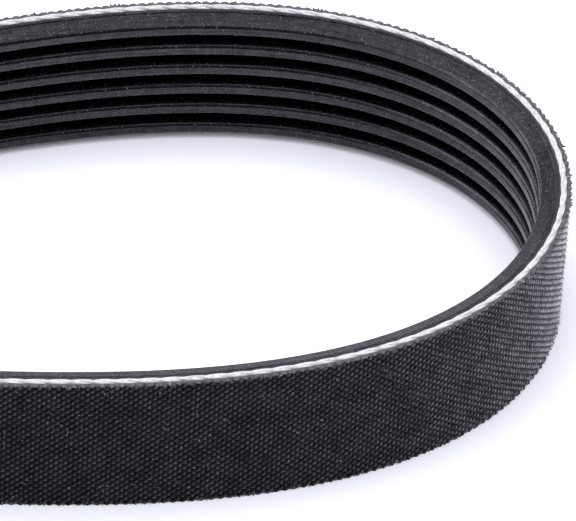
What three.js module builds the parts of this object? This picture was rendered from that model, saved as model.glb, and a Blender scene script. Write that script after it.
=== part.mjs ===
// A six-rib serpentine belt that stands on its edge as a free loop.
//
// Millimetres, +Z up. The origin is the centre of the loop on the surface that the belt stands on.
// The loop is longest along X, and the belt's width runs up Z from 0.
//
// The belt is built of four plies, from its smooth back to its ribs: a woven fabric, the tension cord,
// a thin adhesion rubber, and the rubber that the V grooves are ground into. Every ply goes right round
// the loop without a break, and its two long edges are cut flush with the others.

import * as THREE from 'three';

// The loop, measured on the cord line, which runs through the middle of the tension cord
const LOOP_LENGTH = 700;
const WAIST_WIDTH = 54.8; // across the loop where its two runs draw together

// How sharply the ends turn in: sine terms two, three and four of the loop's direction, in radians
const END_TURN_TERMS = [0.12, 0.03, 0.015];

// The V grooves, each cut square to the belt's width at a standard pitch
const RIB_COUNT = 6;
const RIB_PITCH = 3.56;
const GROOVE_DEPTH = 2.2;
const GROOVE_ANGLE = 40; // degrees between a groove's two flanks
const GROOVE_ROOT_WIDTH = 0.6;
const TIP_RADIUS = 0.35; // the rounded corners of each rib's flat tip

// The plies, from the back inwards
const FABRIC_THICKNESS = 0.5;
const CORD_THICKNESS = 0.9;
const ADHESION_THICKNESS = 0.3;
const RIB_BASE_THICKNESS = 0.3; // solid rubber between the adhesion rubber and the bottom of the grooves

// How finely the loop is divided: by stations that carry the section, and by short steps that trace it
const STATIONS = 80;
const STEPS_PER_QUARTER = 1000;
const EVEN_SHARE = 0.45; // of the stations, the share spread evenly; the rest go where the loop bends

const ARC_DIVISIONS = 1; // each rounded corner of a rib takes two straight lines for each of these

const BELT_WIDTH = RIB_COUNT * RIB_PITCH;
const FINE_STEPS = 4 * STEPS_PER_QUARTER;
const STEP_LENGTH = LOOP_LENGTH / FINE_STEPS;

// Heights above the cord line, positive towards the back of the belt
const CORD_OUTER = CORD_THICKNESS / 2;
const CORD_INNER = -CORD_THICKNESS / 2;
const BACK_FACE = CORD_OUTER + FABRIC_THICKNESS;
const ADHESION_INNER = CORD_INNER - ADHESION_THICKNESS;
const GROOVE_ROOT = ADHESION_INNER - RIB_BASE_THICKNESS;
const RIB_TIP = GROOVE_ROOT - GROOVE_DEPTH;

// The direction of the cord line, as an angle, a distance s round the loop from its right-hand end.
// The even turn of a circle is squeezed into a long loop by sine terms of twice the loop's frequency,
// which leaves the two halves alike and the ends meeting.
function directionAt(s, firstTerm) {
  const turn = (2 * Math.PI * s) / LOOP_LENGTH;
  return [firstTerm, ...END_TURN_TERMS].reduce(
    (angle, term, index) => angle + term * Math.sin(2 * (index + 1) * turn),
    Math.PI / 2 + turn,
  );
}

// Points on the cord line, a short step apart, centred on the origin. The first is the right-hand end
// and the point a quarter of the way round is the middle of the far run.
function traceCordLine(firstTerm) {
  const points = [new THREE.Vector2(0, 0)];
  for (let i = 0; i < FINE_STEPS; i += 1) {
    const angle = directionAt((i + 0.5) * STEP_LENGTH, firstTerm);
    const stride = new THREE.Vector2(Math.cos(angle), Math.sin(angle)).multiplyScalar(STEP_LENGTH);
    points.push(points[i].clone().add(stride));
  }
  const centre = points[0].clone().lerp(points[2 * STEPS_PER_QUARTER], 0.5);
  return points.map((point) => point.sub(centre));
}

// The first sine term that draws the two runs together to the stated waist. It lies between nothing,
// which leaves a round loop, and a quarter turn, which crosses the runs over. That range is halved until
// no number is left inside it.
function solveFirstTerm() {
  let wide = 0;
  let narrow = Math.PI / 2;
  let middle = narrow / 2;
  while (middle > wide && middle < narrow) {
    const halfWaist = traceCordLine(middle)[STEPS_PER_QUARTER].y;
    if (2 * halfWaist < WAIST_WIDTH) narrow = middle;
    else wide = middle;
    middle = (wide + narrow) / 2;
  }
  return middle;
}

// Stations round the loop, closer together where it bends. Each holds a point on the cord line and the
// direction that points out of the loop there. They sit half a step to either side of the loop's four
// ends and middles, so a flat facet faces squarely out at each of those.
function layStations() {
  const firstTerm = solveFirstTerm();
  const line = traceCordLine(firstTerm);
  const turned = [0];
  for (let i = 0; i < FINE_STEPS; i += 1) {
    const before = directionAt(i * STEP_LENGTH, firstTerm);
    const after = directionAt((i + 1) * STEP_LENGTH, firstTerm);
    turned.push(turned[i] + Math.abs(after - before));
  }
  const passed = turned.map((turn, i) => {
    const bendShare = turn / turned[FINE_STEPS];
    return THREE.MathUtils.lerp(bendShare, i / FINE_STEPS, EVEN_SHARE);
  });
  return Array.from({ length: STATIONS }, (_, station) => {
    const wanted = (station + 0.5) / STATIONS;
    const next = passed.findIndex((share) => share > wanted);
    const part = THREE.MathUtils.inverseLerp(passed[next - 1], passed[next], wanted);
    const point = line[next - 1].clone().lerp(line[next], part);
    const angle = directionAt((next - 1 + part) * STEP_LENGTH, firstTerm);
    return { point, out: new THREE.Vector2(Math.sin(angle), -Math.cos(angle)) };
  });
}

// Sweeps a closed section right round the loop. A section point's x is its height above the cord line
// and its y is its place across the belt's width; the section runs anticlockwise.
function sweepRoundLoop(sectionPoints, stations) {
  const positions = stations.flatMap(({ point, out }) =>
    sectionPoints.flatMap(({ x, y }) => [point.x + out.x * x, point.y + out.y * x, y]),
  );
  const size = sectionPoints.length;
  const indices = [];
  stations.forEach((_, station) => {
    const here = station * size;
    const ahead = ((station + 1) % stations.length) * size;
    for (let corner = 0; corner < size; corner += 1) {
      const next = (corner + 1) % size;
      indices.push(here + corner, ahead + corner, ahead + next);
      indices.push(here + corner, ahead + next, here + next);
    }
  });
  const geometry = new THREE.BufferGeometry();
  geometry.setAttribute('position', new THREE.Float32BufferAttribute(positions, 3));
  geometry.setIndex(indices);
  geometry.computeVertexNormals();
  return geometry;
}

// The section of a plain ply, a flat band between two heights above the cord line.
function bandSection(inner, outer) {
  return [
    new THREE.Vector2(inner, 0),
    new THREE.Vector2(outer, 0),
    new THREE.Vector2(outer, BELT_WIDTH),
    new THREE.Vector2(inner, BELT_WIDTH),
  ];
}

// The section of the ribbed rubber: a thin base with a rib at each pitch. The edges of the belt lie in
// the middle of a groove, so each outer rib has its full flank.
function ribSection() {
  const flankAngle = THREE.MathUtils.degToRad(GROOVE_ANGLE / 2);
  const flankRun = GROOVE_DEPTH * Math.tan(flankAngle);
  const tipWidth = RIB_PITCH - GROOVE_ROOT_WIDTH - 2 * flankRun;
  const cornerAngle = Math.PI / 2 + flankAngle;
  const cornerReach = Math.min(TIP_RADIUS / Math.tan(cornerAngle / 2), tipWidth / 3);
  const radius = cornerReach * Math.tan(cornerAngle / 2);
  const outline = new THREE.Shape();
  outline.moveTo(ADHESION_INNER, 0);
  outline.lineTo(ADHESION_INNER, BELT_WIDTH);
  outline.lineTo(GROOVE_ROOT, BELT_WIDTH);
  for (let rib = RIB_COUNT - 1; rib >= 0; rib -= 1) {
    const middle = (rib + 0.5) * RIB_PITCH;
    const flat = tipWidth / 2 - cornerReach;
    const foot = tipWidth / 2 + flankRun;
    outline.lineTo(GROOVE_ROOT, middle + foot);
    outline.absarc(RIB_TIP + radius, middle + flat, radius, cornerAngle, Math.PI);
    outline.absarc(RIB_TIP + radius, middle - flat, radius, Math.PI, 2 * Math.PI - cornerAngle);
    outline.lineTo(GROOVE_ROOT, middle - foot);
  }
  outline.lineTo(GROOVE_ROOT, 0);
  return outline.getPoints(ARC_DIVISIONS);
}

const MATERIALS = {
  fabric: new THREE.MeshStandardMaterial({ color: 0x25252b, roughness: 0.75, metalness: 0 }),
  cord: new THREE.MeshStandardMaterial({ color: 0xe6e2e4, roughness: 0.7, metalness: 0 }),
  adhesionRubber: new THREE.MeshStandardMaterial({ color: 0x3a3a40, roughness: 0.7, metalness: 0 }),
  ribRubber: new THREE.MeshStandardMaterial({ color: 0x2b2b31, roughness: 0.5, metalness: 0 }),
};

function makePly(name, section, stations, material) {
  const ply = new THREE.Mesh(sweepRoundLoop(section, stations), material);
  ply.name = name;
  return ply;
}

const stations = layStations();
const belt = new THREE.Group();
belt.name = 'serpentine_belt';
belt.add(
  makePly('backing_fabric', bandSection(CORD_OUTER, BACK_FACE), stations, MATERIALS.fabric),
  makePly('tension_cord', bandSection(CORD_INNER, CORD_OUTER), stations, MATERIALS.cord),
  makePly('adhesion_rubber', bandSection(ADHESION_INNER, CORD_INNER), stations, MATERIALS.adhesionRubber),
  makePly('ribbed_rubber', ribSection(), stations, MATERIALS.ribRubber),
);

export default belt;
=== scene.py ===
"""A six-rib serpentine belt that stands on its long edge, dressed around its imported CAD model.

Each ply is modelled straight first: +X runs along the belt, the woven back faces -Y, the ribs face +Y and
the belt's width runs up +Z from 0. A Curve modifier then bends it round the loop. Lengths are in metres
and angles in radians, unless a name says otherwise.
"""
import logging
import math
import random
from collections.abc import Callable
from dataclasses import dataclass
from enum import Enum
from functools import reduce

import bpy
import numpy as np
from mathutils import Matrix, Vector


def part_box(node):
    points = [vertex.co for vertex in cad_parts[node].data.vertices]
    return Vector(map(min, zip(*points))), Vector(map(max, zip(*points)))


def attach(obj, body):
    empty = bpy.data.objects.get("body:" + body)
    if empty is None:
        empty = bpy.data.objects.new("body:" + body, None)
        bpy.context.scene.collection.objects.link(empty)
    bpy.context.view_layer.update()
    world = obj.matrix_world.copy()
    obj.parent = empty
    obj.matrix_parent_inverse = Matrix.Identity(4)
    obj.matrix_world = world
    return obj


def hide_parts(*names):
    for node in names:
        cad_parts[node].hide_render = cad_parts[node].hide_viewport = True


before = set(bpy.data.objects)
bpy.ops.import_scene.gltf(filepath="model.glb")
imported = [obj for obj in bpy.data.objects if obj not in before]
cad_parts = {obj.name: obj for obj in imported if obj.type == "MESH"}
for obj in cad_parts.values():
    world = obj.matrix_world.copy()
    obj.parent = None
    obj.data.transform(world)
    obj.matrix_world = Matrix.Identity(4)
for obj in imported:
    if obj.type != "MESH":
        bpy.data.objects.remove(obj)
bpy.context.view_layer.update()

Piece = bpy.types.Object
Face = bpy.types.MeshPolygon
Material = bpy.types.Material
Tree = bpy.types.NodeTree
Node = bpy.types.Node
Socket = bpy.types.NodeSocket
Sources = dict[str | int, object]
Colour = tuple[float, float, float, float]
Triple = tuple[float, float, float]
Span = tuple[float, float]

MM = 0.001
BODY = "root"
STRAIGHT_PLACE = "straight_place"
MERGE_DISTANCE = 0.002 * MM
SQUARE_ON = 0.9  # how much of an axis a face's normal has when the face counts as facing along it

log = logging.getLogger("serpentine_belt")


class Slot(Enum):
    """The record's material slots, each named like the CAD node that wears it."""

    FABRIC = "backing_fabric"
    CORD = "tension_cord"
    ADHESION = "adhesion_rubber"
    RIBS = "ribbed_rubber"


class Edge(Enum):
    """The two long edges of the belt, where it was cut."""

    UPPER = "upper"
    LOWER = "lower"


class Part(Enum):
    """What is selected while a piece is edited."""

    VERTEX = "VERT"
    EDGE = "EDGE"
    FACE = "FACE"


# Modelling helpers


def leave_edit_mode() -> None:
    """Go back to object mode if a piece is being edited."""
    if bpy.context.object is not None and bpy.context.object.mode != "OBJECT":
        bpy.ops.object.mode_set(mode="OBJECT")


def deselect_everything() -> None:
    """Clear the selection, which the loaded CAD nodes start with."""
    leave_edit_mode()
    bpy.ops.object.select_all(action="DESELECT")


def activate(*pieces: Piece) -> None:
    """Select some objects and no others, with the first one active.

    Args:
        pieces: The objects to work on.
    """
    deselect_everything()
    for piece in pieces:
        piece.select_set(True)
    bpy.context.view_layer.objects.active = pieces[0]


def apply_place(piece: Piece) -> None:
    """Move an object's place, turn and scale into its mesh."""
    activate(piece)
    bpy.ops.object.transform_apply(location=True, rotation=True, scale=True)


def edit(piece: Piece, part: Part, everything: bool = False) -> None:
    """Open a piece in edit mode.

    Args:
        piece: The object to edit.
        part: What is selected in it from here on.
        everything: Whether all of it is selected at the start, and not none of it.
    """
    activate(piece)
    bpy.ops.object.mode_set(mode="EDIT")
    bpy.ops.mesh.select_mode(type=part.value)
    bpy.ops.mesh.select_all(action="SELECT" if everything else "DESELECT")


def select(piece: Piece, part: Part, test: Callable[..., bool]) -> None:
    """Open a piece in edit mode with what passes a test selected.

    Args:
        piece: The object to edit.
        part: What is selected.
        test: Says whether one is wanted. It takes a vertex's place, an edge's two ends, or a face.
    """
    edit(piece, part)
    bpy.ops.object.mode_set(mode="OBJECT")
    mesh = piece.data
    if part is Part.VERTEX:
        for vertex in mesh.vertices:
            vertex.select = test(vertex.co)
    elif part is Part.EDGE:
        for line in mesh.edges:
            line.select = test(*(mesh.vertices[end].co for end in line.vertices))
    else:
        for face in mesh.polygons:
            face.select = test(face)
    bpy.ops.object.mode_set(mode="EDIT")


def runs_along(first: Vector, second: Vector) -> bool:
    """Say whether an edge of a straight piece runs along the belt, from its two ends."""
    return abs(first.x - second.x) > MERGE_DISTANCE


def delete_faces(piece: Piece, test: Callable[[Face], bool]) -> None:
    """Delete the faces of a piece that pass a test."""
    select(piece, Part.FACE, test)
    bpy.ops.mesh.delete(type="FACE")


def open_ends(piece: Piece) -> None:
    """Delete the faces at both ends of a unit, where its neighbours along the belt join it."""
    delete_faces(piece, lambda face: abs(face.normal.x) > SQUARE_ON)


def bevel(piece: Piece, offset: float, segments: int, test: Callable[[Vector, Vector], bool]) -> None:
    """Bevel the edges of a piece that pass a test.

    Args:
        piece: The object to change.
        offset: How far the bevel reaches from each edge.
        segments: How many faces it gets.
        test: Takes an edge's two ends and says whether it is wanted.
    """
    select(piece, Part.EDGE, test)
    bpy.ops.mesh.bevel(offset=offset, offset_type="OFFSET", segments=segments, affect="EDGES")
    leave_edit_mode()


def cut_through(piece: Piece, place: Triple, outward: Triple, trim: bool = False) -> None:
    """Cut a piece with a plane, trim off what lies beyond if that is wanted, and select the new edges."""
    edit(piece, Part.FACE, everything=True)
    bpy.ops.mesh.bisect(plane_co=place, plane_no=outward, clear_outer=trim)


def merge_doubles(piece: Piece) -> None:
    """Merge the vertices of a piece that lie on each other.

    Args:
        piece: The object to clean.
    """
    edit(piece, Part.VERTEX, everything=True)
    bpy.ops.mesh.remove_doubles(threshold=MERGE_DISTANCE)
    leave_edit_mode()


def face_outwards(piece: Piece) -> None:
    """Turn the faces of a closed piece so that they point outwards.

    Args:
        piece: The object whose normals are recalculated.
    """
    edit(piece, Part.FACE, everything=True)
    bpy.ops.mesh.normals_make_consistent(inside=False)
    leave_edit_mode()


def apply_modifier(piece: Piece, kind: str, **settings: object) -> None:
    """Put one modifier on a piece, set it and apply it.

    Args:
        piece: The object to change.
        kind: Blender's name for the modifier's type.
        settings: The modifier's properties by name.
    """
    activate(piece)
    modifier = piece.modifiers.new(kind.lower(), kind)
    for name, value in settings.items():
        setattr(modifier, name, value)
    bpy.ops.object.modifier_apply(modifier=modifier.name)


def repeat(piece: Piece, count: int, step: Triple, merge: bool = True) -> None:
    """Repeat a piece in a row of joined copies.

    Args:
        piece: The object to repeat.
        count: How many there are in the row.
        step: From each one to the next.
        merge: Whether neighbours share the vertices where they meet.
    """
    apply_modifier(
        piece,
        "ARRAY",
        count=count,
        use_relative_offset=False,
        use_constant_offset=True,
        constant_offset_displace=step,
        use_merge_vertices=merge,
        merge_threshold=MERGE_DISTANCE,
    )


def join(pieces: list[Piece], name: str) -> Piece:
    """Join several objects into one.

    Args:
        pieces: The objects; the first one takes in the others.
        name: The name of what they become.

    Returns:
        The joined object.
    """
    activate(*pieces)
    bpy.ops.object.join()
    pieces[0].name = name
    return pieces[0]


def add_object(name: str, data: bpy.types.ID) -> Piece:
    """Make an object and link it into the scene.

    Args:
        name: The object's name.
        data: Its mesh, curve, camera or lamp.

    Returns:
        The object, at the origin.
    """
    made = bpy.data.objects.new(name, data)
    bpy.context.scene.collection.objects.link(made)
    return made


def add_block(name: str, low: Vector, high: Vector) -> Piece:
    """Add a block between two corners, as the start of a piece.

    Args:
        name: The object's name.
        low: The lowest corner.
        high: The highest corner.

    Returns:
        The block, with its place in its mesh.
    """
    deselect_everything()
    bpy.ops.mesh.primitive_cube_add(size=1, location=(low + high) / 2)
    block = bpy.context.object
    block.scale = high - low
    block.name = name
    apply_place(block)
    return block


def note_straight_place(piece: Piece) -> None:
    """Store where each corner of a straight piece lies, for patterns that follow the belt.

    Args:
        piece: The object, before it is bent round the loop.
    """
    mesh = piece.data
    places = np.zeros(len(mesh.vertices) * 3, np.float32)
    mesh.vertices.foreach_get("co", places)
    corners = np.zeros(len(mesh.loops), np.int32)
    mesh.loops.foreach_get("vertex_index", corners)
    layer = mesh.attributes.new(STRAIGHT_PLACE, "FLOAT_VECTOR", "CORNER")
    layer.data.foreach_set("vector", places.reshape(-1, 3)[corners].ravel())


def smooth_below(piece: Piece, degrees: float) -> None:
    """Shade a piece smooth, with edges kept crisp where its faces meet at more than this angle."""
    activate(piece)
    bpy.ops.object.shade_smooth_by_angle(angle=math.radians(degrees))


def hand_over(piece: Piece, slot: Slot, material: Material) -> None:
    """Dress a finished piece, attach it to the belt's body and hide the CAD node that it stands for.

    Args:
        piece: The finished object.
        slot: The record's slot, which also names the CAD node that the piece stands for.
        material: The piece's finish.
    """
    piece.data.materials.clear()
    piece.data.materials.append(material)
    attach(piece, BODY)
    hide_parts(slot.value)
    log.info("%s: %d faces", piece.name, len(piece.data.polygons))


# The belt's shape


@dataclass(frozen=True)
class BeltSection:
    """The belt's section, in places on the straight belt: y is 0 on the cord line."""

    width: float
    rib_count: int = 6
    groove_depth: float = 2.2 * MM
    groove_angle: float = math.radians(40)
    root_width: float = 0.42 * MM
    tip_radius: float = 0.58 * MM
    root_radius: float = 0.12 * MM
    fabric_thickness: float = 0.5 * MM
    cord_thickness: float = 0.9 * MM
    adhesion_thickness: float = 0.3 * MM
    rib_base_thickness: float = 0.3 * MM

    @property
    def rib_pitch(self) -> float:
        """The distance from one rib to the next."""
        return self.width / self.rib_count

    @property
    def back_y(self) -> float:
        """The woven back's outer face."""
        return self.cord_back_y - self.fabric_thickness

    @property
    def cord_back_y(self) -> float:
        """The face between the fabric and the cord."""
        return -self.cord_thickness / 2

    @property
    def cord_front_y(self) -> float:
        """The face between the cord and the adhesion rubber."""
        return self.cord_thickness / 2

    @property
    def adhesion_front_y(self) -> float:
        """The face between the adhesion rubber and the ribbed rubber."""
        return self.cord_front_y + self.adhesion_thickness

    @property
    def root_y(self) -> float:
        """The bottom of the grooves."""
        return self.adhesion_front_y + self.rib_base_thickness

    @property
    def tip_y(self) -> float:
        """The tips of the ribs."""
        return self.root_y + self.groove_depth

    @property
    def tip_width(self) -> float:
        """A rib's tip, measured between its corners as if they were sharp."""
        flank_run = self.groove_depth * math.tan(self.groove_angle / 2)
        return self.rib_pitch - self.root_width - 2 * flank_run


@dataclass(frozen=True)
class BeltPath:
    """The closed way that the cord line takes, seen from above.

    The even turn of a circle is squeezed into a long loop by sine terms of twice the loop's frequency.
    The first term follows from the waist, which is where the two runs draw together.
    """

    length: float = 700 * MM
    waist: float = 54.8 * MM
    end_turn_terms: Triple = (0.12, 0.03, 0.015)
    steps_per_quarter: int = 700

    def trace(self, first_term: float) -> np.ndarray:
        """Follow the way round.

        Args:
            first_term: The first sine term of its direction.

        Returns:
            Points a step apart, with the first one repeated at the end.
        """
        count = 4 * self.steps_per_quarter
        turn = 2 * math.pi * (np.arange(count) + 0.5) / count
        angle = math.pi / 2 + turn
        for order, term in enumerate((first_term, *self.end_turn_terms), start=1):
            angle = angle + term * np.sin(2 * order * turn)
        strides = np.column_stack([np.cos(angle), np.sin(angle)]) * self.length / count
        points = np.vstack([np.zeros(2), np.cumsum(strides, axis=0)])
        return points - (points[0] + points[count // 2]) / 2

    def first_term(self) -> float:
        """Find the first sine term, by halving the range that it lies in until no number is left there.

        Returns:
            The term that gives the waist.
        """
        wide, narrow = 0.0, math.pi / 2
        middle = narrow / 2
        while wide < middle < narrow:
            if 2 * self.trace(middle)[self.steps_per_quarter, 1] < self.waist:
                narrow = middle
            else:
                wide = middle
            middle = (wide + narrow) / 2
        return middle


class LoopFormer:
    """The form that straight work is bent round."""

    def __init__(self, path: BeltPath) -> None:
        """Draw the path as a closed curve.

        Args:
            path: The way round the loop.
        """
        self.path = path
        places = path.trace(path.first_term())[:-1]
        drawing = bpy.data.curves.new("loop_form", "CURVE")
        drawing.dimensions = "3D"
        drawing.twist_mode = "Z_UP"
        drawing.use_deform_bounds = True
        line = drawing.splines.new("POLY")
        line.points.add(len(places) - 1)
        ones = np.ones(len(places))
        line.points.foreach_set("co", np.column_stack([places, 0 * ones, ones]).astype(np.float32).ravel())
        line.use_cyclic_u = True
        self.form = add_object("loop_form", drawing)

    def bend(self, piece: Piece, close: bool = True) -> None:
        """Bend a straight piece round the loop.

        Args:
            piece: The object, which runs from 0 to the belt's length along X.
            close: Whether its two ends meet and are joined, after which its faces are turned outwards.
        """
        leave_edit_mode()
        note_straight_place(piece)
        self.form.data.use_stretch = close
        apply_modifier(piece, "CURVE", object=self.form, deform_axis="POS_X")
        if close:
            merge_doubles(piece)
            face_outwards(piece)

    def put_away(self) -> None:
        """Remove the form, which isn't part of the belt."""
        bpy.data.objects.remove(self.form)


@dataclass
class PlainPly:
    """A plain ply: a flat band with eased edges that runs right round the loop."""

    name: str
    back_y: float
    front_y: float
    low_z: float
    high_z: float
    edge_radius: float = 0.04 * MM
    edge_segments: int = 2
    stations: int = 560
    crisp_degrees: float = 50

    def build(self, former: LoopFormer) -> Piece:
        """Model the ply.

        Args:
            former: What the band is bent round.

        Returns:
            The closed band.
        """
        step = former.path.length / self.stations
        low = Vector((0, self.back_y, self.low_z))
        band = add_block(self.name, low, Vector((step, self.front_y, self.high_z)))
        bevel(band, self.edge_radius, self.edge_segments, runs_along)
        open_ends(band)
        repeat(band, self.stations, (step, 0, 0))
        former.bend(band)
        smooth_below(band, self.crisp_degrees)
        return band


@dataclass
class RibbedRubber:
    """The rubber that carries the V ribs, on the inside of the loop."""

    section: BeltSection
    tip_segments: int = 5
    root_segments: int = 2
    stations: int = 560
    crisp_degrees: float = 32

    def build(self, former: LoopFormer) -> Piece:
        """Model the ribbed rubber.

        Args:
            former: What the rubber is bent round.

        Returns:
            The closed ribbed band.
        """
        step = former.path.length / self.stations
        rubber = self.rib_unit(step)
        repeat(rubber, self.section.rib_count, (0, 0, self.section.rib_pitch))
        inset = self.section.rib_pitch / 2

        def between_ribs(face: Face) -> bool:
            """Say whether a face stands across the belt where two ribs meet."""
            inside = inset < face.center.z < self.section.width - inset
            return inside and abs(face.normal.z) > math.cos(math.radians(1))

        delete_faces(rubber, between_ribs)
        merge_doubles(rubber)
        repeat(rubber, self.stations, (step, 0, 0))
        former.bend(rubber)
        smooth_below(rubber, self.crisp_degrees)
        apply_modifier(rubber, "WEIGHTED_NORMAL", keep_sharp=True)
        return rubber

    def rib_unit(self, step: float) -> Piece:
        """Model one rib with half a groove to either side, as long as one station.

        Args:
            step: The unit's length along the belt.

        Returns:
            The rib, open where its neighbours along the belt join it.
        """
        section = self.section
        foot = section.root_width / 2
        middle = section.rib_pitch / 2
        low = Vector((0, section.adhesion_front_y, 0))
        rib = add_block("ribbed_rubber_ply", low, Vector((step, section.root_y, section.rib_pitch)))
        for height in (foot, section.rib_pitch - foot):
            cut_through(rib, (0, 0, height), (0, 0, 1))
        select(rib, Part.FACE, lambda face: face.normal.y > SQUARE_ON and abs(face.center.z - middle) < foot)
        bpy.ops.mesh.extrude_region_move(TRANSFORM_OT_translate={"value": (0, section.groove_depth, 0)})
        narrowing = section.tip_width / (section.rib_pitch - section.root_width)
        bpy.ops.transform.resize(value=(1, 1, narrowing), center_override=(step / 2, section.tip_y, middle))
        self.round_edges(rib, section.tip_y, section.tip_radius, self.tip_segments)
        self.round_edges(rib, section.root_y, section.root_radius, self.root_segments)
        open_ends(rib)
        return rib

    def round_edges(self, rib: Piece, y: float, radius: float, segments: int) -> None:
        """Round the rib's edges at one depth, away from the unit's own ends.

        Args:
            rib: The rib unit.
            y: Where the edges lie.
            radius: The radius of the rounding.
            segments: How many faces it gets.
        """
        turn = math.pi / 2 - self.section.groove_angle / 2
        margin = self.section.root_width / 4
        pitch = self.section.rib_pitch

        def wanted(first: Vector, second: Vector) -> bool:
            """Say whether an edge runs along the belt at this depth, inside the unit."""
            at_depth = abs(first.y - y) < MERGE_DISTANCE
            return at_depth and runs_along(first, second) and margin < first.z < pitch - margin

        bevel(rib, radius * math.tan(turn / 2), segments, wanted)


@dataclass
class WovenBack:
    """The bias-laid plain weave on the belt's back, with every thread crossing as a raised bump."""

    section: BeltSection
    cells_along: int = 551
    cell_width: float = 1.02 * MM
    relief: float = 0.36 * MM
    saddle_share: float = 0.3  # the height of the saddles between two crossings, as a share of the relief
    sink: float = 0.16 * MM
    bump_sides: int = 8
    crisp_degrees: float = 75

    def build(self, former: LoopFormer) -> Piece:
        """Model the fabric.

        Args:
            former: What the fabric is bent round.

        Returns:
            The closed fabric band.
        """
        cell_length = former.path.length / self.cells_along
        fabric = self.crossing_pair(cell_length)
        rows = math.ceil(self.section.width / self.cell_width) + 1
        repeat(fabric, rows, (0, 0, self.cell_width))
        repeat(fabric, self.cells_along + 1, (cell_length, 0, 0))
        self.trim(fabric, former.path.length)
        self.close_to_cord(fabric)
        former.bend(fabric)
        smooth_below(fabric, self.crisp_degrees)
        return fabric

    def crossing_pair(self, cell_length: float) -> Piece:
        """Model two neighbouring thread crossings.

        Args:
            cell_length: The weave's period along the belt.

        Returns:
            The two bumps, which tile the back when they are repeated.
        """
        deselect_everything()
        pit_y = self.section.back_y + self.sink
        bpy.ops.mesh.primitive_circle_add(
            vertices=self.bump_sides,
            radius=0.5,
            fill_type="NGON",
            location=(0, pit_y, 0),
            rotation=(math.pi / 2, 0, 0),
        )
        bump = bpy.context.object
        apply_place(bump)
        # The corners between the axes move in to the middles of a diamond's sides and rise to saddles
        off_axis = 0.1
        select(bump, Part.VERTEX, lambda place: min(abs(place.x), abs(place.z)) > off_axis)
        halfway = 1 / math.sqrt(2)
        bpy.ops.transform.resize(value=(halfway, 1, halfway), center_override=(0, pit_y, 0))
        bpy.ops.transform.translate(value=(0, -self.relief * self.saddle_share, 0))
        # The face's middle becomes the crossing's summit
        edit(bump, Part.FACE, everything=True)
        bpy.ops.mesh.poke()
        select(bump, Part.VERTEX, lambda place: max(abs(place.x), abs(place.z)) < off_axis)
        summit = min(vertex.co.y for vertex in bump.data.vertices if vertex.select)
        bpy.ops.transform.translate(value=(0, pit_y - self.relief - summit, 0))
        leave_edit_mode()
        bump.scale = (cell_length, 1, self.cell_width)
        apply_place(bump)
        neighbour = add_object("neighbour_bump", bump.data.copy())
        neighbour.location = (cell_length / 2, 0, self.cell_width / 2)
        apply_place(neighbour)
        return join([bump, neighbour], "woven_back")

    def trim(self, fabric: Piece, length: float) -> None:
        """Cut the sheet to the belt's width and length.

        Args:
            fabric: The woven sheet, which is too large all round.
            length: The belt's length.
        """
        merge_doubles(fabric)
        cuts = (
            ((0, 0, 0), (0, 0, -1)),
            ((0, 0, self.section.width), (0, 0, 1)),
            ((0, 0, 0), (-1, 0, 0)),
            ((length, 0, 0), (1, 0, 0)),
        )
        for place, outward in cuts:
            cut_through(fabric, place, outward, trim=True)

    def close_to_cord(self, fabric: Piece) -> None:
        """Fold the fabric's two cut edges in to the cord and close the side that lies against it.

        Args:
            fabric: The trimmed sheet.
        """
        top = self.section.width - MERGE_DISTANCE

        def on_long_edge(first: Vector, second: Vector) -> bool:
            """Say whether an edge lies on one of the two long cut edges."""
            return max(first.z, second.z) < MERGE_DISTANCE or min(first.z, second.z) > top

        select(fabric, Part.EDGE, on_long_edge)
        bpy.ops.mesh.extrude_region_move()
        bpy.ops.transform.resize(value=(1, 0, 1), center_override=(0, self.section.cord_back_y, 0))
        bpy.ops.mesh.bridge_edge_loops()
        leave_edit_mode()


@dataclass
class TwistedCord:
    """The three-strand cord that the cut lays bare along each edge of the belt."""

    section: BeltSection
    lays: int = 78
    strand_radius: float = 0.28 * MM
    twist_radius: float = 0.2 * MM
    upper_rise: float = 0.32 * MM
    strand_count: int = 3
    strand_sides: int = 8
    steps_per_lay: int = 20
    crisp_degrees: float = 80

    @property
    def radius(self) -> float:
        """How far the cord reaches from its own middle."""
        return self.strand_radius + self.twist_radius

    def build(self, edge: Edge, former: LoopFormer) -> Piece:
        """Model the cord along one edge.

        Args:
            edge: Which edge of the belt it lies in.
            former: What the cord is bent round.

        Returns:
            The closed three-strand cord.
        """
        lay = former.path.length / self.lays
        turns = [2 * math.pi * number / self.strand_count for number in range(self.strand_count)]
        cord = join([self.strand(lay, turn) for turn in turns], f"edge_cord_{edge.value}")
        upper = self.section.width - self.radius + self.upper_rise
        cord.location = (0, 0, upper if edge is Edge.UPPER else self.radius)
        apply_place(cord)
        repeat(cord, self.lays, (lay, 0, 0))
        former.bend(cord)
        smooth_below(cord, self.crisp_degrees)
        return cord

    def strand(self, lay: float, start: float) -> Piece:
        """Model one turn of one strand.

        Args:
            lay: The length of a whole turn.
            start: The angle round the cord at which the strand starts.

        Returns:
            The strand, open at both ends, round the X axis.
        """
        deselect_everything()
        bpy.ops.mesh.primitive_circle_add(
            vertices=self.strand_sides,
            radius=self.strand_radius,
            fill_type="NOTHING",
            location=(0, self.twist_radius * math.cos(start), self.twist_radius * math.sin(start)),
            rotation=(0, math.pi / 2, 0),
        )
        strand = bpy.context.object
        apply_place(strand)
        steps = self.steps_per_lay
        turn = {"axis": "X", "angle": 2 * math.pi, "screw_offset": lay, "steps": steps, "render_steps": steps}
        apply_modifier(strand, "SCREW", **turn)
        return strand


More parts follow.
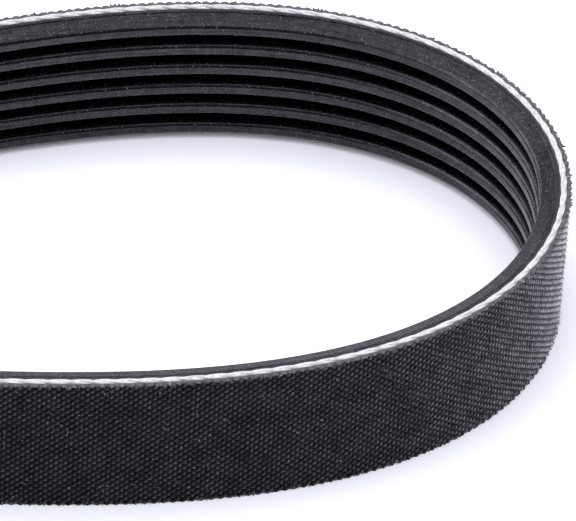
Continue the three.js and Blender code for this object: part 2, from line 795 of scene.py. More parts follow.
@dataclass
class FrayedEdge:
    """The cut ends of the fabric's threads, which stand in tufts along each edge of the back."""

    section: BeltSection
    tufts_per_patch: int = 44
    patches: int = 25
    fibres_per_tuft: int = 5
    fibre_sides: int = 5
    fibre_radius: float = 0.05 * MM
    fibre_length: float = 0.45 * MM
    waist_swell: float = 1.5
    tip_share: float = 0.35
    stub_stoutness: float = 2.8  # the first thread end of each tuft is a thick stub
    depth_span: Span = (0.05, 0.95)
    sunk_span: Span = (0.74, 1.0)
    scatter: float = 0.12 * MM
    sway: float = 0.5
    lean_span: Span = (0.15, 1.7)
    size_span: Span = (0.6, 1.15)
    seed: int = 11
    crisp_degrees: float = 70

    def build(self, edge: Edge, former: LoopFormer) -> Piece:
        """Model the frayed threads along one edge.

        Args:
            edge: Which edge of the belt they stand on.
            former: What the row of tufts is bent round.

        Returns:
            The row of tufts.
        """
        draw = random.Random(f"{self.seed}{edge.value}")
        spacing = former.path.length / (self.tufts_per_patch * self.patches)
        model = self.fibre()
        fibres = []
        for tuft in range(self.tufts_per_patch):
            for number in range(self.fibres_per_tuft):
                fibre = add_object("thread_end_copy", model.data.copy())
                stoutness = self.stub_stoutness if number == 0 else 1.0
                fibre.matrix_world = self.fibre_place(tuft * spacing, edge, draw, stoutness)
                fibres.append(fibre)
        bpy.data.objects.remove(model)
        patch = join(fibres, f"frayed_edge_{edge.value}")
        apply_place(patch)
        repeat(patch, self.patches, (spacing * self.tufts_per_patch, 0, 0), merge=False)
        former.bend(patch, close=False)
        smooth_below(patch, self.crisp_degrees)
        return patch

    def fibre(self) -> Piece:
        """Model one thread end.

        Returns:
            A thin rod along +Z that swells halfway up and tapers to its tip.
        """
        deselect_everything()
        half = self.fibre_length / 2
        bpy.ops.mesh.primitive_cone_add(
            vertices=self.fibre_sides,
            radius1=self.fibre_radius,
            radius2=self.tip_share * self.fibre_radius,
            depth=self.fibre_length,
            location=(0, 0, half),
        )
        fibre = bpy.context.object
        apply_place(fibre)
        cut_through(fibre, (0, 0, half), (0, 0, 1))
        swell = self.waist_swell
        bpy.ops.transform.resize(value=(swell, swell, 1), center_override=(0, 0, half))
        leave_edit_mode()
        return fibre

    def fibre_place(self, along: float, edge: Edge, draw: random.Random, stoutness: float) -> Matrix:
        """Find a place on the edge for one thread end, leaning its own way.

        Args:
            along: The tuft's place along the belt.
            edge: Which edge of the belt it stands on.
            draw: The source of its small differences.
            stoutness: How much thicker than a single fibre it is.

        Returns:
            The thread end's place, turn and size.
        """
        depth = draw.uniform(*self.depth_span) * self.section.fabric_thickness
        sunk = draw.uniform(*self.sunk_span) * self.fibre_length
        side = along + draw.gauss(0, self.scatter)
        lean_along = draw.gauss(0, self.sway)
        lean_out = draw.uniform(*self.lean_span)
        size = draw.uniform(*self.size_span)
        turn = Matrix.Rotation(lean_along, 4, "Y") @ Matrix.Rotation(lean_out, 4, "X")
        root = self.section.width - sunk * math.cos(lean_out)
        if edge is Edge.LOWER:
            turn = Matrix.Scale(-1, 4, (0, 0, 1)) @ turn
            root = self.section.width - root
        girth = Matrix.Diagonal((size * stoutness, size * stoutness, size, 1))
        return Matrix.Translation((side, self.section.back_y + depth, root)) @ turn @ girth


# Finishes


class NodeBench:
    """A small bench for wiring shader nodes."""

    def __init__(self, tree: Tree) -> None:
        """Take the node tree of a material, a group or the surroundings to work on."""
        self.tree = tree

    def feed(self, node: Node, sources: Sources) -> None:
        """Feed a node's inputs from other nodes, or set them to plain values.

        Args:
            node: The node.
            sources: A socket, a number or a colour for each input, by the input's name or number.
        """
        for key, source in sources.items():
            if isinstance(source, Socket):
                self.tree.links.new(source, node.inputs[key])
            else:
                node.inputs[key].default_value = source

    def add(self, kind: str, sources: Sources, **settings: object) -> Node:
        """Add a node.

        Args:
            kind: The node's type without its ShaderNode prefix.
            sources: What feeds its inputs, by their names or numbers.
            settings: The node's properties by name.

        Returns:
            The new node.
        """
        node = self.tree.nodes.new(f"ShaderNode{kind}")
        for name, value in settings.items():
            setattr(node, name, value)
        self.feed(node, sources)
        return node

    def math(self, operation: str, *sources: object, clamp: bool = False) -> Socket:
        """Work out a number with one Math node, clamped between 0 and 1 if that is wanted."""
        node = self.add("Math", dict(enumerate(sources)), operation=operation, use_clamp=clamp)
        return node.outputs[0]

    def product(self, *factors: object) -> Socket:
        """Multiply numbers."""
        return reduce(lambda done, factor: self.math("MULTIPLY", done, factor), factors)

    def total(self, *terms: object) -> Socket:
        """Add numbers up."""
        return reduce(lambda done, term: self.math("ADD", done, term), terms)

    def highest(self, *levels: object) -> Socket:
        """Take the highest of some numbers."""
        return reduce(lambda done, level: self.math("MAXIMUM", done, level), levels)

    def axes(self, vector: Socket) -> list[Socket]:
        """Take a vector apart into its X, Y and Z."""
        return list(self.add("SeparateXYZ", {0: vector}).outputs)

    def stretched(self, vector: Socket, stretch: object) -> Socket:
        """Stretch a vector by its own amount along each axis."""
        return self.add("VectorMath", {0: vector, 1: stretch}, operation="MULTIPLY").outputs["Vector"]

    def scaled(self, vector: object, scale: Socket) -> Socket:
        """Scale a vector by one amount."""
        return self.add("VectorMath", {0: vector, "Scale": scale}, operation="SCALE").outputs["Vector"]

    def agreement(self, direction: Socket, axis: Triple) -> Socket:
        """Measure how far a direction agrees with an axis: 1 along it, 0 square to it and -1 against it."""
        return self.add("VectorMath", {0: direction, 1: axis}, operation="DOT_PRODUCT").outputs["Value"]

    def spread(self, value: object, given: Span, wanted: Span) -> Socket:
        """Take a number smoothly from its given range to the wanted one."""
        sources = dict(enumerate((value, *given, *wanted)))
        return self.add("MapRange", sources, interpolation_type="SMOOTHSTEP").outputs["Result"]

    def blend(self, share: object, under: object, over: object, way: str = "MIX") -> Socket:
        """Blend two colours.

        Args:
            share: How much of the upper one shows.
            under: The colour underneath.
            over: The colour on top.
            way: The Mix node's blend type.

        Returns:
            The blended colour.
        """
        factor, first, second, result = 0, 6, 7, 2  # the numbers of the Mix node's colour sockets
        sources = {factor: share, first: under, second: over}
        return self.add("Mix", sources, data_type="RGBA", blend_type=way).outputs[result]

    def group(self, tree: Tree, sources: Sources) -> Node:
        """Place a node group and feed its inputs."""
        return self.add("Group", sources, node_tree=tree)


class GroupBench(NodeBench):
    """A bench for a new node group with named sockets."""

    def __init__(self, name: str, inputs: dict[str, object], outputs: tuple[str, ...]) -> None:
        """Start the group.

        Args:
            name: The group's name.
            inputs: Each input's starting value by name, a number or a vector.
            outputs: The names of its outputs, which are all numbers.
        """
        super().__init__(bpy.data.node_groups.new(name, "ShaderNodeTree"))
        sockets = self.tree.interface
        for label, value in inputs.items():
            kind = "NodeSocketVector" if isinstance(value, tuple) else "NodeSocketFloat"
            sockets.new_socket(label, in_out="INPUT", socket_type=kind).default_value = value
        for label in outputs:
            sockets.new_socket(label, in_out="OUTPUT", socket_type="NodeSocketFloat")
        self.given = self.tree.nodes.new("NodeGroupInput").outputs
        self.result = self.tree.nodes.new("NodeGroupOutput")


@dataclass(frozen=True)
class FlecksGroup:
    """Small pale flecks, such as fibre ends and dust, scattered over a surface."""

    smallest: float = 0.3

    def build(self) -> Tree:
        """Wire the group: Place, Spacing, Share and Size in, Mask out.

        Returns:
            The group's tree.
        """
        inputs = {"Place": (0, 0, 0), "Spacing": 1 * MM, "Share": 0.2, "Size": 0.3}
        bench = GroupBench("flecks", inputs, ("Mask",))
        finer = bench.scaled(bench.given["Place"], bench.math("DIVIDE", 1.0, bench.given["Spacing"]))
        cells = bench.add("TexVoronoi", {"Vector": finer, "Scale": 1.0}, feature="F1").outputs
        lot, size, _ = bench.add("SeparateColor", {"Color": cells["Color"]}).outputs
        chosen = bench.math("LESS_THAN", lot, bench.given["Share"])
        reach = bench.product(bench.given["Size"], bench.total(size, self.smallest))
        off_middle = bench.math("DIVIDE", cells["Distance"], reach)
        near = bench.math("SUBTRACT", 1.0, off_middle, clamp=True)
        bench.feed(bench.result, {"Mask": bench.product(chosen, near)})
        return bench.tree


@dataclass(frozen=True)
class MottleGroup:
    """The uneven tone and fine grain of cut or ground rubber, of fabric and of thread."""

    usual_span: Span = (0.3, 0.7)
    fine_detail: float = 3.0
    coarse_detail: float = 2.0
    coarse_scale: float = 0.14
    coarse_swing: float = 0.35

    def build(self) -> Tree:
        """Wire the group: Place, Grain, Stretch and Depth in, Tone and Height out.

        Returns:
            The group's tree.
        """
        inputs = {"Place": (0, 0, 0), "Grain": 0.15 * MM, "Stretch": (1, 1, 1), "Depth": 0.5}
        bench = GroupBench("mottle", inputs, ("Tone", "Height"))
        drawn = bench.stretched(bench.given["Place"], bench.given["Stretch"])
        scale = bench.math("DIVIDE", 1.0, bench.given["Grain"])
        coarser = bench.product(scale, self.coarse_scale)
        fine, coarse = (
            bench.add("TexNoise", {"Vector": drawn, "Scale": size, "Detail": detail}).outputs["Fac"]
            for size, detail in ((scale, self.fine_detail), (coarser, self.coarse_detail))
        )
        wide = bench.spread(fine, self.usual_span, (-1.0, 1.0))
        slow = bench.spread(coarse, self.usual_span, (-self.coarse_swing, self.coarse_swing))
        swing = bench.product(bench.total(wide, slow), bench.given["Depth"])
        bench.feed(bench.result, {"Tone": bench.total(1.0, swing), "Height": fine})
        return bench.tree


@dataclass(frozen=True)
class WeaveGroup:
    """The threads of the bias-laid weave, over the crossings that the mesh already raises."""

    fade_along: float = 11.0
    fade_across: float = 62.0
    lean: float = 36.0
    yarns_per_thread: int = 4
    yarn_height: float = 0.22
    yarn_repeat: int = 4  # crossings after which the yarn lines' directions repeat

    def build(self) -> Tree:
        """Wire the group: Place, Cell length and Cell width in, Crown, Stroke and Height out.

        Returns:
            The group's tree.
        """
        inputs = {"Place": (0, 0, 0), "Cell length": 1.27 * MM, "Cell width": 1.02 * MM}
        bench = GroupBench("weave", inputs, ("Crown", "Stroke", "Height"))
        x, _, z = bench.axes(bench.given["Place"])
        along = bench.math("DIVIDE", x, bench.given["Cell length"])
        across = bench.math("DIVIDE", z, bench.given["Cell width"])
        rising = bench.total(along, across)
        falling = bench.math("SUBTRACT", along, across)
        crown = bench.product(self.rounded(bench, rising), self.rounded(bench, falling))
        yarns = bench.product(self.yarn_lines(bench, rising, falling), self.yarn_height)
        made = {
            "Crown": crown,
            "Stroke": self.stroke(bench, rising, falling),
            "Height": bench.total(crown, yarns),
        }
        bench.feed(bench.result, made)
        return bench.tree

    def rounded(self, bench: NodeBench, across: Socket) -> Socket:
        """Round a row of threads: 1 along the middle of each one and 0 between two."""
        return bench.math("ABSOLUTE", bench.math("COSINE", bench.product(across, math.pi)))

    def stroke(self, bench: NodeBench, rising: Socket, falling: Socket) -> Socket:
        """Draw the stroke of painted highlight on each crossing, which leans between the thread on top and
        upright.

        Args:
            bench: The group's bench.
            rising: The place across the first set of threads.
            falling: The place across the second set.

        Returns:
            1 in the middle of each stroke, fading to 0 round it.
        """
        places = (rising, falling)
        first, second = (bench.math("SUBTRACT", place, bench.math("ROUND", place)) for place in places)
        fade = bench.total(
            bench.product(first, first, -self.fade_along),
            bench.product(second, second, -self.fade_across),
            bench.product(first, second, -self.lean),
        )
        return bench.math("EXPONENT", fade)

    def yarn_lines(self, bench: NodeBench, rising: Socket, falling: Socket) -> Socket:
        """Draw the fine yarn lines, which run with each set of threads for two crossings in turn.

        Args:
            bench: The group's bench.
            rising: The place across the first set of threads.
            falling: The place across the second set.

        Returns:
            A fine wave between -1 and 1.
        """
        turn = 2 * math.pi * self.yarns_per_thread
        first, second = (bench.math("SINE", bench.product(place, turn)) for place in (rising, falling))
        crossing = bench.total(bench.math("ROUND", rising), bench.math("ROUND", falling))
        step = bench.math("ABSOLUTE", bench.math("MODULO", crossing, self.yarn_repeat))
        turned = bench.math("GREATER_THAN", step, (self.yarn_repeat - 1) / 2)
        factor, under, over = 0, 2, 3  # the numbers of the Mix node's number sockets
        return bench.add("Mix", {factor: turned, under: first, over: second}, data_type="FLOAT").outputs[0]


@dataclass(frozen=True)
class Groups:
    """The node groups that the finishes share."""

    flecks: Tree
    mottle: Tree
    weave: Tree

    @classmethod
    def build(cls) -> "Groups":
        """Build every group once."""
        return cls(FlecksGroup().build(), MottleGroup().build(), WeaveGroup().build())


class Coat(NodeBench):
    """A material in the making, whose patterns follow the straight belt."""

    def __init__(self, name: str, groups: Groups) -> None:
        """Start the material.

        Args:
            name: Its name.
            groups: The shared node groups.
        """
        self.material = bpy.data.materials.new(name)
        self.material.use_nodes = True
        super().__init__(self.material.node_tree)
        self.shader = self.tree.nodes["Principled BSDF"]
        self.groups = groups
        self.place = self.add("Attribute", {}, attribute_name=STRAIGHT_PLACE).outputs["Vector"]

    def glance(self, power: float) -> Socket:
        """Find how far a surface is seen from the side, by the eye alone and not by the light it throws.

        Args:
            power: How quickly this dies away as the surface turns to the eye.

        Returns:
            1 where it is seen edge on, fading to 0 where it is faced.
        """
        facing = self.add("LayerWeight", {}).outputs["Facing"]
        seen = self.add("LightPath", {}).outputs["Is Camera Ray"]
        return self.product(self.math("POWER", facing, power), seen)

    def finish(self, sources: Sources, height: Socket | None = None, depth: float = 0) -> Material:
        """Feed the shader.

        Args:
            sources: A socket or a plain value for each of the shader's inputs, by name.
            height: The height between 0 and 1 that its bump is made from, if it has one.
            depth: How deep the bump is.

        Returns:
            The finished material.
        """
        self.feed(self.shader, sources)
        if height:
            bump = self.add("Bump", {"Strength": 1.0, "Distance": depth, "Height": height})
            self.feed(self.shader, {"Normal": bump.outputs["Normal"]})
        return self.material


@dataclass(frozen=True)
class Mottle:
    """How a finish sets the mottle."""

    grain: float
    depth: float
    stretch: Triple = (1, 1, 1)

    def lay(self, coat: Coat) -> bpy.types.NodeOutputs:
        """Lay the mottle over a material, and give its Tone and Height."""
        sources = {"Place": coat.place, "Grain": self.grain, "Depth": self.depth, "Stretch": self.stretch}
        return coat.group(coat.groups.mottle, sources).outputs


@dataclass(frozen=True)
class Flecks:
    """How a finish sets the flecks."""

    spacing: float
    share: float
    size: float

    def lay(self, coat: Coat, place: Socket) -> Socket:
        """Scatter the flecks over a material, and give their mask."""
        sources = {"Place": place, "Spacing": self.spacing, "Share": self.share, "Size": self.size}
        return coat.group(coat.groups.flecks, sources).outputs["Mask"]


@dataclass(frozen=True)
class FabricFinish:
    """Black rubber-soaked fabric: dark pits, a painted highlight stroke and a painted edge-on sheen on the
    crossings, dust, and pale fuzz along its edges.
    """

    cell_length: float
    cell_width: float
    width: float
    pit: Colour = (0.0034, 0.0033, 0.0050, 1)
    # the painted highlight colour, laid along the stroke on each crossing
    crown: Colour = (0.029, 0.028, 0.038, 1)
    # painted sheen: the pale colour that the crossings take where the camera sees them edge on
    painted_sheen: Colour = (0.76, 0.74, 0.82, 1)
    glance_power: float = 2.55
    # how much of the crowns and strokes takes the painted sheen
    painted_sheen_share: float = 0.6
    mottle: Mottle = Mottle(0.33 * MM, 0.8)
    dust: Colour = (0.42, 0.42, 0.40, 1)
    dust_flecks: Flecks = Flecks(0.46 * MM, 0.13, 0.26)
    dust_cover: float = 0.75
    fuzz: Colour = (0.15, 0.143, 0.16, 1)
    fuzz_outline: Mottle = Mottle(0.7 * MM, 0.95)
    fuzz_grain: Mottle = Mottle(0.1 * MM, 1.0)
    fuzz_cover: float = 0.8
    least_fuzz: float = 0.15
    upper_fuzz_reach: float = 0.4 * MM
    lower_fuzz_reach: float = 0.22 * MM
    loose_end: Colour = (0.62, 0.60, 0.63, 1)
    loose_flecks: Flecks = Flecks(0.24 * MM, 0.3, 0.34)
    loose_reach: float = 1.6
    loose_cover: float = 2.4
    roughness: float = 0.5
    specular_span: Span = (0.05, 0.3)
    full_stroke: float = 0.9
    sheen: float = 0.4
    sheen_roughness: float = 0.3
    sheen_tint: Colour = (0.86, 0.84, 1.0, 1)
    bump_depth: float = 0.05 * MM

    def material(self, groups: Groups) -> Material:
        """Build the material.

        Args:
            groups: The shared node groups.

        Returns:
            The finish of the woven back.
        """
        coat = Coat("woven_back_finish", groups)
        cells = {"Place": coat.place, "Cell length": self.cell_length, "Cell width": self.cell_width}
        weave = coat.group(groups.weave, cells).outputs
        crown, stroke = weave["Crown"], weave["Stroke"]
        # Painted sheen: a pale colour over the crowns and strokes where the camera sees them edge on.
        painted_sheen_spots = coat.product(coat.total(crown, stroke), self.painted_sheen_share)
        painted_sheen_mask = coat.product(coat.glance(self.glance_power), painted_sheen_spots)
        # Painted highlight: the crown colour along each crossing's stroke, over the dark pit colour.
        base = coat.blend(painted_sheen_mask, coat.blend(stroke, self.pit, self.crown), self.painted_sheen)
        toned = coat.blend(1.0, base, self.mottle.lay(coat)["Tone"], "MULTIPLY")
        flat = coat.stretched(coat.place, (1, 0, 1))
        dusty = coat.product(self.dust_flecks.lay(coat, flat), self.dust_cover)
        frayed = self.edge_fuzz(coat, flat)
        fluffy = coat.blend(coat.math("MINIMUM", frayed, 1.0), coat.blend(dusty, toned, self.dust), self.fuzz)
        loose = coat.math("SUBTRACT", frayed, 1.0, clamp=True)
        sources = {
            "Base Color": coat.blend(loose, fluffy, self.loose_end),
            "Roughness": self.roughness,
            "Specular IOR Level": coat.spread(stroke, (0.0, self.full_stroke), self.specular_span),
            "Sheen Weight": coat.product(crown, self.sheen),
            "Sheen Roughness": self.sheen_roughness,
            "Sheen Tint": self.sheen_tint,
        }
        return coat.finish(sources, weave["Height"], self.bump_depth)

    def edge_fuzz(self, coat: Coat, flat: Socket) -> Socket:
        """Find the two strips where the cut has raised a pale fuzz.

        Args:
            coat: The material in the making.
            flat: The place on the straight belt, without its depth.

        Returns:
            How strongly the fuzz covers each point; above 1, how far a pale loose end shows in it.
        """
        _, _, z = coat.axes(coat.place)
        from_top = coat.math("DIVIDE", coat.math("SUBTRACT", self.width, z), self.upper_fuzz_reach)
        from_foot = coat.math("DIVIDE", z, self.lower_fuzz_reach)
        reach = coat.highest(self.fuzz_outline.lay(coat)["Tone"], self.least_fuzz)
        inset = coat.math("DIVIDE", coat.math("MINIMUM", from_top, from_foot), reach)
        near = coat.math("SUBTRACT", 1.0, inset, clamp=True)
        fine = coat.product(self.fuzz_grain.lay(coat)["Tone"], self.fuzz_cover)
        fluff = coat.math("MULTIPLY", near, fine, clamp=True)
        around = coat.math("SUBTRACT", self.loose_reach, inset, clamp=True)
        return coat.highest(fluff, coat.product(self.loose_flecks.lay(coat, flat), around, self.loose_cover))


@dataclass(frozen=True)
class ThreadFinish:
    """Cut thread ends: grey fibre, from dark to dusty, and matt."""

    dark: Colour = (0.022, 0.021, 0.023, 1)
    pale: Colour = (0.24, 0.232, 0.245, 1)
    mottle: Mottle = Mottle(0.3 * MM, 0.9)
    tone_span: Span = (0.4, 2.0)
    roughness: float = 0.85
    specular: float = 0.2

    def material(self, groups: Groups) -> Material:
        """Build the material.

        Args:
            groups: The shared node groups.

        Returns:
            The finish of the frayed edges.
        """
        coat = Coat("thread_end_finish", groups)
        share = coat.spread(self.mottle.lay(coat)["Tone"], self.tone_span, (0.0, 1.0))
        colour = coat.blend(share, self.dark, self.pale)
        return coat.finish(
            {"Base Color": colour, "Roughness": self.roughness, "Specular IOR Level": self.specular}
        )


@dataclass(frozen=True)
class CordFinish:
    """White twisted polyester, faintly lavender, with fine fibres along each strand."""

    clean: Colour = (0.80, 0.775, 0.825, 1)
    soiled: Colour = (0.46, 0.445, 0.485, 1)
    mottle: Mottle = Mottle(0.25 * MM, 0.6, (0.4, 1, 1))
    clean_share: float = 0.7
    roughness: float = 0.8
    specular: float = 0.3
    bump_depth: float = 0.07 * MM

    def material(self, groups: Groups) -> Material:
        """Build the material.

        Args:
            groups: The shared node groups.

        Returns:
            The finish of the cord.
        """
        coat = Coat("cord_finish", groups)
        mottle = self.mottle.lay(coat)
        share = coat.math("SUBTRACT", 1.0, coat.product(mottle["Tone"], self.clean_share), clamp=True)
        colour = coat.blend(share, self.clean, self.soiled)
        sources = {"Base Color": colour, "Roughness": self.roughness, "Specular IOR Level": self.specular}
        return coat.finish(sources, mottle["Height"], self.bump_depth)


@dataclass(frozen=True)
class RubberFinish:
    """Black rubber with short pale fibres in it, lighter where the belt was cut, with painted shade that
    takes it to black in the grooves and a painted sheen where it is seen edge on.
    """

    name: str
    section: BeltSection
    colour: Colour
    fleck: Colour
    flecks: Flecks
    mottle: Mottle
    roughness: float
    bump_depth: float
    specular: float = 0.5
    streaks: Mottle | None = None
    cut: Colour = (0.028, 0.027, 0.033, 1)
    cut_depth: float = 0.01 * MM
    # painted sheen: the pale colour that the ribs take where the camera sees them edge on
    painted_sheen: Colour = (0.26, 0.25, 0.285, 1)
    glance_power: float = 3.5
    # painted shade: the share of colour, specular and flecks that is left deep in a groove
    groove_shade_level: float = 0.2
    groove_top: float = 0.6  # the height in a groove up to which it has the full painted groove shade
    fleck_cover: float = 0.85
    usual_height: Span = (0.3, 0.7)
    roughness_swing: float = 0.06

    def material(self, groups: Groups) -> Material:
        """Build the material.

        Args:
            groups: The shared node groups.

        Returns:
            The rubber's finish.
        """
        coat = Coat(self.name, groups)
        _, y, z = coat.axes(coat.place)
        half = self.section.width / 2
        from_edge = coat.math("SUBTRACT", half, coat.math("ABSOLUTE", coat.math("SUBTRACT", z, half)))
        unshaded_share = self.out_of_groove_shade(coat, y, from_edge)
        mottle = self.mottle.lay(coat)
        tone = mottle["Tone"]
        if self.streaks:
            tone = coat.product(tone, self.streaks.lay(coat)["Tone"])
        on_cut = coat.math("LESS_THAN", from_edge, self.cut_depth)
        # Painted shade: the colour falls to black down in the grooves.
        base = coat.blend(on_cut, coat.blend(unshaded_share, (0, 0, 0, 1), self.colour), self.cut)
        # Painted sheen: a pale colour where the camera sees the rubber edge on, outside the groove shade.
        painted_sheen_mask = coat.product(coat.glance(self.glance_power), unshaded_share)
        toned = coat.blend(1.0, coat.blend(painted_sheen_mask, base, self.painted_sheen), tone, "MULTIPLY")
        share = coat.product(self.flecks.lay(coat, coat.place), unshaded_share, self.fleck_cover)
        roughness_span = (self.roughness - self.roughness_swing, self.roughness + self.roughness_swing)
        sources = {
            "Base Color": coat.blend(share, toned, self.fleck),
            "Roughness": coat.spread(mottle["Height"], self.usual_height, roughness_span),
            "Specular IOR Level": coat.product(tone, self.specular, unshaded_share),
        }
        return coat.finish(sources, mottle["Height"], self.bump_depth)

    def out_of_groove_shade(self, coat: Coat, depth: Socket, from_edge: Socket) -> Socket:
        """Find the grooves, where painted shade darkens the rubber and thins out its flecks and its specular.

        Args:
            coat: The material in the making.
            depth: The place through the belt's thickness.
            from_edge: The distance in from the nearer long edge.

        Returns:
            1 on the ribs' tips and on the belt's outer flanks, falling to the groove shade level inside a
            groove.
        """
        start = self.section.root_y + self.groove_top * self.section.groove_depth
        risen = coat.spread(depth, (start, self.section.tip_y), (self.groove_shade_level, 1.0))
        return coat.highest(risen, coat.math("LESS_THAN", from_edge, self.section.rib_pitch / 2))


# The studio


@dataclass(frozen=True)
class Camera:
    """The photograph's viewpoint, as fitted to the belt's edges in its 576 by 521 pixel frame."""

    image_width: float = 576
    focal_pixels: float = 8464.258
    target: Triple = (116.639 * MM, -4.609 * MM, 10.68 * MM)
    distance: float = 1153.221 * MM
    azimuth: float = math.radians(-12.493)
    elevation: float = math.radians(41.323)
    roll: float = math.radians(3.753)
    sensor_width: float = 36.0
    clip_span: Span = (0.05, 50)

    def place(self) -> None:
        """Make the camera and make it the scene's own."""
        level = math.cos(self.elevation)
        back = Vector(
            (math.sin(self.azimuth) * level, -math.cos(self.azimuth) * level, math.sin(self.elevation))
        )
        right = Vector((math.cos(self.azimuth), math.sin(self.azimuth), 0))
        up = back.cross(right)
        rolled_right = right * math.cos(self.roll) + up * math.sin(self.roll)
        rolled_up = up * math.cos(self.roll) - right * math.sin(self.roll)
        lens = bpy.data.cameras.new("photo_camera")
        lens.sensor_width = self.sensor_width
        lens.lens = self.focal_pixels / self.image_width * self.sensor_width
        lens.clip_start, lens.clip_end = self.clip_span
        viewer = add_object("photo_camera", lens)
        turn = Matrix((rolled_right, rolled_up, back)).transposed()
        viewer.matrix_world = Matrix.Translation(Vector(self.target) + back * self.distance) @ turn.to_4x4()
        bpy.context.scene.camera = viewer


@dataclass(frozen=True)
class Studio:
    """A white sweep under soft light, with a dim room on the camera's side and a window to the left.

    Each reach, and the backdrop's top and side, is the range over which a light fades in or out: the
    height or the sideways part of a direction, or that direction's agreement with an axis.
    """

    floor_size: float = 30.0
    floor_colour: Triple = (0.835, 0.83, 0.935)
    floor_gain: float = 1.45
    mirrored_floor_gain: float = 1.15
    window: Triple = (-0.865, 0.2, 0.46)
    camera_side: Triple = (-0.216, -0.976, 0.0)
    sky_strength: float = 0.80
    sky_shares: Span = (0.5, 1.35)
    sky_reach: Span = (0.1, 0.95)
    side_share: float = 0.6
    side_share_reach: Span = (0.4, 0.9)
    window_share: float = 1.0
    window_share_reach: Span = (0.6, 0.92)
    mirror_tint: Colour = (0.88, 0.86, 1.0, 1)
    dim_level: float = 0.05
    overhead_level: float = 1.35
    overhead_reach: Span = (0.68, 0.9)
    side_level: float = 0.9
    side_reach: Span = (0.4, 0.75)
    window_level: float = 3.2
    window_reach: Span = (0.62, 0.9)
    backdrop_level: float = 0.7
    backdrop_top: Span = (0.35, 0.68)
    backdrop_side: Span = (-0.1, 0.4)
    key_strength: float = 0.2
    key_size: float = 1.6
    key_place: Triple = (0.1, 0.2, 2.0)

    def build(self) -> None:
        """Set up the floor, the surroundings and the lamp."""
        self.lay_floor()
        self.light_surroundings()
        self.hang_key()
        bpy.context.scene.view_settings.view_transform = "Standard"

    def lay_floor(self) -> None:
        """Lay the floor that the belt stands on, a little brighter to look at than the light it throws."""
        deselect_everything()
        bpy.ops.mesh.primitive_plane_add(size=self.floor_size, location=(0, 0, 0))
        floor = bpy.context.object
        floor.name = "studio_floor"
        material = bpy.data.materials.new("studio_floor_finish")
        material.use_nodes = True
        material.node_tree.nodes.clear()
        bench = NodeBench(material.node_tree)
        ray = bench.add("LightPath", {}).outputs
        gain = bench.total(
            1.0,
            bench.product(ray["Is Camera Ray"], self.floor_gain - 1.0),
            bench.product(ray["Is Glossy Ray"], self.mirrored_floor_gain - 1.0),
        )
        matt = bench.add("BsdfDiffuse", {"Color": bench.scaled(self.floor_colour, gain)})
        bench.add("OutputMaterial", {"Surface": matt.outputs[0]})
        floor.data.materials.append(material)

    def light_surroundings(self) -> None:
        """Make the surroundings white to look at, a softer light to stand in, and a studio to mirror."""
        world = bpy.data.worlds.new("studio_surroundings")
        bpy.context.scene.world = world
        world.use_nodes = True
        bench = NodeBench(world.node_tree)
        ray = bench.add("LightPath", {}).outputs
        shown = bench.highest(ray["Is Camera Ray"], ray["Is Transmission Ray"])
        mirrored = ray["Is Glossy Ray"]
        unlit = bench.math("SUBTRACT", bench.math("SUBTRACT", 1.0, shown), mirrored)
        direction = bench.add("TexCoord", {}).outputs["Generated"]
        x, _, height = bench.axes(direction)
        sideways = bench.math("ABSOLUTE", x)
        to_window = bench.agreement(direction, self.window)
        share = bench.total(
            bench.spread(height, self.sky_reach, self.sky_shares),
            bench.spread(sideways, self.side_share_reach, (0.0, self.side_share)),
            bench.spread(to_window, self.window_share_reach, (0.0, self.window_share)),
        )
        away = bench.spread(bench.agreement(direction, self.camera_side), self.backdrop_side, (1.0, 0.0))
        low = bench.spread(height, self.backdrop_top, (self.backdrop_level, 0.0))
        reflection = bench.highest(
            bench.spread(height, self.overhead_reach, (0.0, self.overhead_level)),
            bench.product(low, away),
            bench.spread(sideways, self.side_reach, (0.0, self.side_level)),
            bench.spread(to_window, self.window_reach, (0.0, self.window_level)),
            self.dim_level,
        )
        strength = bench.total(
            shown,
            bench.product(mirrored, reflection),
            bench.product(unlit, share, self.sky_strength),
        )
        tint = bench.blend(mirrored, (1, 1, 1, 1), self.mirror_tint)
        bench.feed(world.node_tree.nodes["Background"], {"Strength": strength, "Color": tint})

    def hang_key(self) -> None:
        """Hang a large soft lamp above the belt, which doesn't mirror it."""
        lamp = bpy.data.lights.new("soft_key", "AREA")
        lamp.shape = "SQUARE"
        lamp.size = self.key_size
        place = Vector(self.key_place)
        lamp.energy = self.key_strength * 4 * math.pi * place.length_squared
        holder = add_object("soft_key", lamp)
        holder.location = place
        holder.visible_glossy = False
        holder.rotation_mode = "QUATERNION"
        holder.rotation_quaternion = place.to_track_quat("Z", "Y")


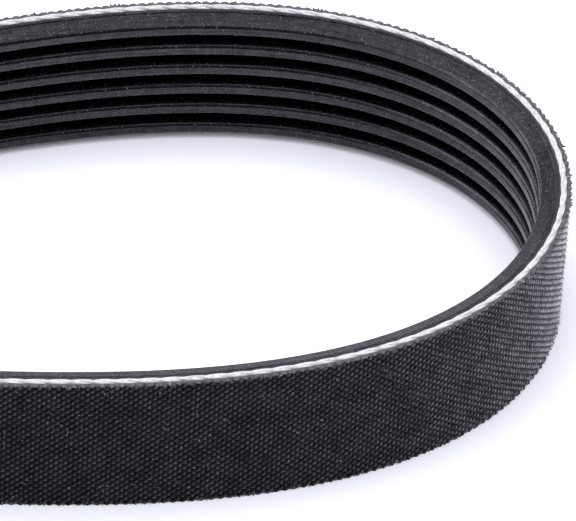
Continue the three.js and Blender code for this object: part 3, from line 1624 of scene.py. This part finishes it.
@dataclass
class Belt:
    """The whole belt: every ply, modelled and dressed in turn."""

    section: BeltSection
    former: LoopFormer
    groups: Groups

    def build(self) -> None:
        """Build the plies from the back inwards and put the form away."""
        self.build_fabric()
        self.build_cord()
        self.build_rubber()
        self.former.put_away()

    def build_fabric(self) -> None:
        """Build the woven back and the frayed threads along its edges."""
        weave = WovenBack(self.section)
        cell_length = self.former.path.length / weave.cells_along
        finish = FabricFinish(cell_length, weave.cell_width, self.section.width)
        hand_over(weave.build(self.former), Slot.FABRIC, finish.material(self.groups))
        thread_ends = ThreadFinish().material(self.groups)
        for edge in Edge:
            hand_over(FrayedEdge(self.section).build(edge, self.former), Slot.FABRIC, thread_ends)

    def build_cord(self) -> None:
        """Build the twisted cord along each edge and the plain layer of cord between them."""
        cord = TwistedCord(self.section)
        finish = CordFinish().material(self.groups)
        for edge in Edge:
            hand_over(cord.build(edge, self.former), Slot.CORD, finish)
        faces = (self.section.cord_back_y, self.section.cord_front_y)
        layer = PlainPly("cord_layer", *faces, cord.radius, self.section.width - cord.radius)
        hand_over(layer.build(self.former), Slot.CORD, finish)

    def build_rubber(self) -> None:
        """Build the thin adhesion rubber and the ribbed rubber."""
        faces = (self.section.cord_front_y, self.section.adhesion_front_y)
        adhesion = PlainPly("adhesion_ply", *faces, 0, self.section.width)
        cut_rubber = RubberFinish(
            name="cut_rubber_finish",
            section=self.section,
            colour=RubberFinish.cut,
            fleck=(0.3, 0.3, 0.31, 1),
            flecks=Flecks(0.26 * MM, 0.25, 0.32),
            mottle=Mottle(0.12 * MM, 0.35),
            roughness=0.5,
            bump_depth=0.02 * MM,
            groove_shade_level=1.0,
        )
        hand_over(adhesion.build(self.former), Slot.ADHESION, cut_rubber.material(self.groups))
        ground_rubber = RubberFinish(
            name="ground_rubber_finish",
            section=self.section,
            colour=(0.0065, 0.0062, 0.0092, 1),
            fleck=(0.42, 0.41, 0.44, 1),
            flecks=Flecks(0.26 * MM, 0.24, 0.32),
            mottle=Mottle(0.16 * MM, 0.38, (1, 0.5, 0.5)),
            roughness=0.25,
            bump_depth=0.012 * MM,
            specular=0.46,
            streaks=Mottle(0.09 * MM, 0.35, (0.02, 1, 1)),
        )
        ribs = RibbedRubber(self.section).build(self.former)
        hand_over(ribs, Slot.RIBS, ground_rubber.material(self.groups))


def main() -> None:
    """Build the belt and the studio around it."""
    logging.basicConfig(level=logging.INFO, format="%(name)s: %(message)s")
    Camera().place()
    section = BeltSection(width=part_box(Slot.RIBS.value)[1].z)
    Belt(section, LoopFormer(BeltPath()), Groups.build()).build()
    Studio().build()


if __name__ == "__main__":
    main()
